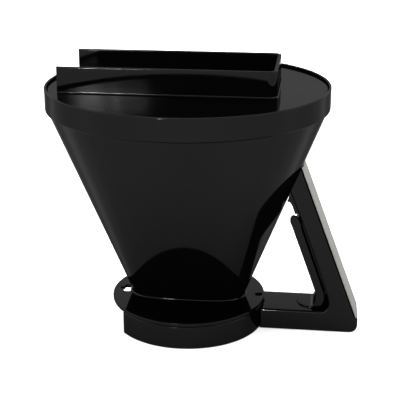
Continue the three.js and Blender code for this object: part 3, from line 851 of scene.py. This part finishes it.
def handle():
    """Arm and grip, hollow, with the cuts for latch, lever, pin and peg."""
    body = plate_mesh("handle", [handle_outline()], -HALF_W, HALF_W, HANDLE_EDGE, upright=False)
    back = TRIM_SEAT + GRIP_BACK
    floor = ARM_TOP - ARM_WALL
    low = floor - 0.0005
    high = ARM_TOP + 0.0001
    over_arm = 0.070
    grip_hollow = plate_mesh("grip_hollow", [[
        (over_arm, low),
        grip_point(low, back),
        grip_point(POCKET_TOP, back),
        (0.050, POCKET_TOP),
        (0.066, high),
        (over_arm, high),
    ]], -HALF_POCKET, HALF_POCKET, 0.0006, upright=False)
    arm_hollow = box_mesh((ARM_START, -HALF_POCKET, -PAST), (ARM_END, HALF_POCKET, floor))
    recess = (LEVER_HIGH.y - LEVER_LOW.y) / 2 + 0.0004
    recess_end = 0.0745
    foot_recess = plate_mesh("foot_recess", [
        arc(FOOT_X, 0, recess, 90, 270, 28) + [(recess_end, -recess), (recess_end, recess)]
    ], FOOT_RECESS_Z, ARM_TOP + PAST, TOOL_EDGE)
    slot_start, slot_end = 0.061, 0.072
    slot_half = 0.0026
    post_slot = box_mesh((slot_start, -slot_half, ARM_TOP - 0.003),
                         (slot_end, slot_half, ARM_TOP + PAST))
    pin_bore = plate_mesh("pin_bore", [circle(PIN_HOLE_R, PIVOT_X, PIVOT_Z, 32)],
                          -HALF_W + PIN_WALL, HALF_W + PAST, TOOL_EDGE, upright=False)
    above_arm = 0.03
    collar_inside = bmesh.new()
    add_rings(collar_inside, [
        [Vector((AXIS_X + x, y, z)) for x, y in circle(ARM_ROOT_R, steps=AROUND)]
        for z in (-PAST, above_arm)
    ])
    return cut_mesh(body, [
        grip_hollow,
        arm_hollow,
        foot_recess,
        post_slot,
        latch_way(ARM_START + PAST),
        pin_bore,
        peg_seat(),
        finish_mesh(collar_inside, "collar_inside"),
        cone_cutter(CONE_CLEARANCE),
    ])


def collar():
    """The ring under the flange, open opposite the handle."""
    opening = math.degrees(math.asin(COLLAR_OPENING / 2 / (COLLAR_R - COLLAR_T / 2)))
    inside = COLLAR_R - COLLAR_T
    r = 0.0004
    section = rounded_outline([
        (inside, 0), (COLLAR_R, 0), (COLLAR_R, COLLAR_H), (inside, COLLAR_H)
    ], r, 3)
    bm = bmesh.new()
    rings = []
    steps = 200
    end = 180 - opening
    for i in range(steps + 1):
        angle = math.radians(-end + 2 * end * i / steps)
        across = Vector((math.cos(angle), math.sin(angle), 0))
        rings.append([Vector((AXIS_X, 0, z)) + across * u for u, z in section])
    add_rings(bm, rings)
    ring = finish_mesh(bm, "collar")
    return cut_mesh(ring, [latch_way(LATCH_WAY_END), peg_seat()])


def collar_tabs():
    """Screw tabs and the boss for the locating peg, inside the collar."""
    bm = bmesh.new()
    inside = COLLAR_R - COLLAR_T / 2
    for degrees, (x, y) in zip(COLLAR_SCREW_ANGLES, collar_screw_places()):
        lathe(bm, [
            (TAB_BORE_R, TAB_LOW), (TAB_R - BROKEN_EDGE, TAB_LOW), (TAB_R, TAB_LOW + BROKEN_EDGE),
            (TAB_R, TAB_HIGH - BROKEN_EDGE), (TAB_R - BROKEN_EDGE, TAB_HIGH), (TAB_BORE_R, TAB_HIGH),
        ], AXIS_X + x, y, 40)
        out = Vector((math.cos(math.radians(degrees)), math.sin(math.radians(degrees)), 0))
        side = Vector((-out.y, out.x, 0))
        start = Vector((AXIS_X, 0, 0)) + out * (COLLAR_SCREW_R + 0.0022)
        end = Vector((AXIS_X, 0, 0)) + out * inside
        rings = []
        for point in (start, end):
            rings.append([
                point + side * s * TAB_HALF_W + Vector((0, 0, z))
                for s, z in ((-1, TAB_LOW), (1, TAB_LOW), (1, TAB_HIGH), (-1, TAB_HIGH))
            ])
        add_rings(bm, rings)
    lathe(bm, [
        (PEG_SEAT_R, PEG_BOSS_LOW),
        (PEG_BOSS_R - BROKEN_EDGE, PEG_BOSS_LOW),
        (PEG_BOSS_R, PEG_BOSS_LOW + BROKEN_EDGE),
        (PEG_BOSS_R, COLLAR_H - BROKEN_EDGE),
        (PEG_BOSS_R - BROKEN_EDGE, COLLAR_H),
        (PEG_SEAT_R, COLLAR_H),
    ], AXIS_X + PEG_X, 0, 40)
    return finish_mesh(bm, "collar_tabs")


def grip_web():
    """The web between the grip's sides, above the lever."""
    web = plate_mesh("grip_web", [rounded_outline([
        (0.050, 0.078), (0.049, 0.0745), (0.0496, 0.0705), (0.0504, 0.0688), (0.0522, 0.0684),
        (0.0532, 0.0668), (0.0548, 0.0624),
        (0.0595, 0.0624), (0.060, 0.067), (0.057, 0.073), (0.054, 0.079),
    ], 0.0006)], -WEB_W / 2, WEB_W / 2, 0.0006, upright=False)
    return cut_mesh(web, [cone_cutter(CONE_CLEARANCE)])


def trim_top(y, depth):
    """The height at which the strip, at y and a depth, meets the cone."""
    low, high = GRIP_FOOT.y, GRIP_TOP.y + 0.006
    for _ in range(40):
        middle = (low + high) / 2
        if grip_point(middle, depth)[0] > cone_reach(y, middle, TRIM_CLEARANCE):
            low = middle
        else:
            high = middle
    return low


def grip_trim():
    """The bright strip. Its upper end follows the cone."""
    bm = bmesh.new()
    across = 24
    rows = 30
    rings = []
    for i in range(across + 1):
        y = -HALF_W + HANDLE_W * i / across
        edge = 0.00025 if i in (0, across) else 0.0
        outline = []
        for depth, order in ((edge, range(rows + 1)), (TRIM_T - edge, range(rows, -1, -1))):
            height = trim_top(y, depth) - GRIP_FOOT.y
            outline += [grip_point(GRIP_FOOT.y + height * k / rows, depth) for k in order]
        rings.append([Vector((AXIS_X + x, y, z)) for x, z in outline])
    add_rings(bm, rings)
    return finish_mesh(bm, "grip_strip")


make_object("handle", handle(), "holder", BLACK, ["collar_handle"])
make_object("collar", collar(), "holder", BLACK, ["collar_handle"])
make_object("collar_tabs", collar_tabs(), "holder", BLACK, ["collar_handle"])
make_object("grip_web", grip_web(), "holder", BLACK, ["collar_handle"])
make_object("grip_strip", grip_trim(), "holder", ALUMINIUM, ["grip_trim"])


# ------------------------------------------------------------------ squeeze lever

def lever():
    """The strip in the grip, its stop on top, its foot on the arm, the fin and the post."""
    half = (LEVER_HIGH.y - LEVER_LOW.y) / 2
    low, high = LEVER_FOOT_LOW, LEVER_FOOT_HIGH
    toe = 0.063
    heel = bezier((0.0655, low), (0.0716, low), (0.0714, 0.0185), 8)
    instep = [(0.0663, 0.0205)] + bezier((0.0666, 0.0175), (0.0665, high), (toe, high), 8)
    instep += [(toe, low)]
    stop_back = (0.0586, 0.0540)
    stop_front = (0.0533, 0.0558)
    stop = rounded_outline([
        (*stop_back, 0), (0.0582, 0.0568, 0.002), (0.0568, 0.0596, 0.002),
        (0.0549, 0.0613), (0.0533, 0.0612), (0.0524, 0.0598), (0.0525, 0.0575, 0.003),
        (*stop_front, 0),
    ], 0.0014)
    side = heel + [stop_back, (0.0578, 0.0558), stop_front] + instep
    strip = plate_mesh("lever", [side], -half + 0.0006, half, 0.0004, upright=False)
    cheek_t = 0.0018
    cheek = plate_mesh("lever_cheek", [heel + stop + instep], -half, -half + cheek_t, 0.0005,
                       upright=False)
    foot_end = FOOT_X + 0.0015
    foot = plate_mesh("lever_foot", [
        arc(FOOT_X, 0, half, 90, 270, 28) + [(foot_end, -half), (foot_end, half)]
    ], low, high, 0.0005)
    fin_half = 0.004
    fin = plate_mesh("lever_fin", [rounded_outline([
        (0.0560, 0.0590), (0.0545, 0.0550), (0.0668, 0.0210), (0.0700, 0.0170), (0.0744, 0.0185),
        (0.0749, 0.0220), (0.0656, 0.0555), (0.0650, 0.0578), (0.0620, 0.0580),
    ], 0.001), circle(PIN_HOLE_R, PIVOT_X, PIVOT_Z, 32)], -fin_half, fin_half, 0.0002, upright=False)
    left, right = 0.0615, 0.0645
    post_half = 0.002
    post_low = 0.004
    post = plate_mesh("lever_post", [rounded_outline([
        (left, -post_half), (right, -post_half), (right, post_half), (left, post_half),
    ], 0.0004)], post_low, low + 0.0004, 0.0003)
    return merged("squeeze_lever_shell", [strip, cheek, foot, fin, post])


make_object("squeeze_lever_shell", lever(), "lever", BLACK, ["squeeze_lever"])


# ------------------------------------------------------------------ springs

def coil_mesh(name, radius, wire, length, turns):
    """A coil spring along +Z from the origin, with its end turns closed up."""
    steps = int(turns * COIL_STEPS)
    closed = 0.75  # turns at each end that lie flat
    flat_rise = closed * 2 * wire
    rise = length - 2 * wire
    open_rise = rise - 2 * flat_rise
    rings = []
    for i in range(steps + 1):
        turn = turns * i / steps
        if turn < closed:
            z = flat_rise * turn / closed
        elif turn > turns - closed:
            z = rise - flat_rise * (turns - turn) / closed
        else:
            z = flat_rise + open_rise * (turn - closed) / (turns - 2 * closed)
        angle = 2 * math.pi * turn
        out = Vector((math.cos(angle), math.sin(angle), 0))
        middle = out * radius + Vector((0, 0, wire + z))
        rings.append([
            middle + out * (wire * math.cos(a)) + Vector((0, 0, wire * math.sin(a)))
            for a in (2 * math.pi * k / WIRE_STEPS for k in range(WIRE_STEPS))
        ])
    bm = bmesh.new()
    add_rings(bm, rings)
    return finish_mesh(bm, name, 60)


def latch_spring():
    """The coil that pushes the latch back towards the collar."""
    low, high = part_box("latch_spring")
    mesh = coil_mesh("latch_spring_coil", LATCH_COIL_R, LATCH_WIRE_R, high.x - low.x, LATCH_TURNS)
    turn = Matrix.Rotation(math.pi / 2, 4, "Y")
    mesh.transform(Matrix.Translation((low.x, 0, (low.z + high.z) / 2)) @ turn)
    coil = make_object("latch_spring_coil", mesh, "holder", STEEL, ["latch_spring"])
    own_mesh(coil)


def valve_spring():
    """The coil that keeps the valve shut, between the plunger and the flange."""
    low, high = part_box("valve_spring")
    mesh = coil_mesh("valve_spring_coil", VALVE_COIL_R, VALVE_WIRE_R, high.z - low.z, VALVE_TURNS)
    mesh.transform(Matrix.Translation((AXIS_X, 0, low.z)))
    coil = make_object("valve_spring_coil", mesh, "holder", STEEL, ["valve_spring"])
    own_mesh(coil)


def locating_peg():
    """A steel peg with a broken edge, set deep in the flange's hole."""
    peg = plate_mesh("locating_peg_pin", [circle(PEG_R, PEG_X, steps=40)],
                     PEG_LOW, FLANGE_UNDER, 0.0003)
    make_object("locating_peg_pin", peg, "holder", STEEL, ["locating_peg"])


latch_spring()
valve_spring()
locating_peg()


# ------------------------------------------------------------------ carried-over nodes

def give_material(node, material):
    """Sets the material of a CAD node, whose own shape shows."""
    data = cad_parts[node]
    data.data.materials.clear()
    data.data.materials.append(material)


for node in ("valve_housing", "valve_plunger", "latch_bar"):
    give_material(node, GREY)
for node in ("housing_seal", "valve_washer"):
    give_material(node, SILICONE)
for node in ("lever_pin", "collar_screw_1", "collar_screw_2", "collar_screw_3",
             "collar_screw_4", "cover_screw_1", "cover_screw_2"):
    give_material(node, STEEL)
give_material("arm_cover", COVER_BLACK)


# ------------------------------------------------------------------ floor, light, camera

FLOOR_SIZE = 16


def floor():
    """A plain pale floor, far wider than the view."""
    bpy.ops.mesh.primitive_plane_add(size=FLOOR_SIZE, location=(0, 0, 0))
    plane = bpy.context.object
    plane.name = "floor"
    material, tree, shader, place = new_material("pale_floor")
    soft = noise(tree, place, 3, 2)
    paper = mixed_colour(tree, soft.outputs["Fac"], (0.86, 0.86, 0.86), (0.88, 0.88, 0.88))
    tree.links.new(paper, shader.inputs["Base Color"])
    shader.inputs["Roughness"].default_value = 0.9
    shader.inputs["Specular IOR Level"].default_value = 0.0
    plane.data.materials.append(material)


def add_panel(name, place, aim, width, height, power):
    """A soft panel of light."""
    data = bpy.data.lights.new(name, "AREA")
    data.shape = "RECTANGLE"
    data.size = width
    data.size_y = height
    data.energy = power
    panel = bpy.data.objects.new(name, data)
    panel.location = place
    panel.rotation_euler = (Vector(aim) - panel.location).to_track_quat("-Z", "Y").to_euler()
    bpy.context.scene.collection.objects.link(panel)


HORIZON_LIGHT = 4.7
SKY_LIGHT = 0.4
# Name, place, width, height and power of each large panel.
PANELS = [
    ("overhead", (0.0, 0.25, 1.3), 1.0, 1.0, 20),
    ("side_left", (-1.40, 0.0, 1.0), 2.0, 1.4, 26),
    ("side_right", (1.45, 0.0, 1.0), 2.0, 1.4, 26),
]
WINDOW_Y = -2.8
WINDOW_Z = 0.80
WINDOW_H = 0.13
# Name, x, width and power of each window that shows on the lid.
WINDOWS = [
    ("window_1", -0.706, 0.08, 56), ("window_2", -0.624, 0.035, 18), ("window_3", -0.559, 0.08, 14),
]


def light_the_scene():
    """A white world, brighter near the horizon, with soft panels of light."""
    world = bpy.data.worlds.new("studio")
    world.use_nodes = True
    tree = world.node_tree
    place = tree.nodes.new("ShaderNodeTexCoord")
    split = tree.nodes.new("ShaderNodeSeparateXYZ")
    tree.links.new(place.outputs["Generated"], split.inputs["Vector"])
    height = between(tree, split.outputs["Z"], HORIZON_LIGHT, SKY_LIGHT, 0.36, 0.6)
    tree.links.new(height, tree.nodes["Background"].inputs["Strength"])
    tree.nodes["Background"].inputs["Color"].default_value = (1, 1, 1, 1)
    bpy.context.scene.world = world
    middle = (0, 0, 0.06)
    for name, spot, width, tall, power in PANELS:
        add_panel(name, spot, middle, width, tall, power)
    for name, x, width, power in WINDOWS:
        add_panel(name, (x, WINDOW_Y, WINDOW_Z), middle, width, WINDOW_H, power)


CAMERA_AZIMUTH = 6.91  # degrees towards the handle side
CAMERA_PITCH = 19.10  # degrees down
CAMERA_DISTANCE = 0.5189
CAMERA_AIM_SIDE = 0.00596  # to the right of the cone's axis
CAMERA_AIM_Z = 0.0648
CAMERA_LENS = 91.03


def place_camera():
    """The view from the front, a little from above and from the handle's side."""
    azimuth = math.radians(CAMERA_AZIMUTH)
    pitch = math.radians(CAMERA_PITCH)
    forward = Vector((
        -math.sin(azimuth) * math.cos(pitch),
        math.cos(azimuth) * math.cos(pitch),
        -math.sin(pitch),
    ))
    right = Vector((math.cos(azimuth), math.sin(azimuth), 0))
    aim = Vector((AXIS_X, 0, CAMERA_AIM_Z)) + right * CAMERA_AIM_SIDE
    data = bpy.data.cameras.new("camera")
    data.lens = CAMERA_LENS
    data.sensor_width = 36
    camera = bpy.data.objects.new("camera", data)
    camera.location = aim - forward * CAMERA_DISTANCE
    camera.rotation_euler = forward.to_track_quat("-Z", "Y").to_euler()
    bpy.context.scene.collection.objects.link(camera)
    bpy.context.scene.camera = camera


floor()
light_the_scene()
place_camera()
bpy.context.scene.view_settings.view_transform = "Standard"
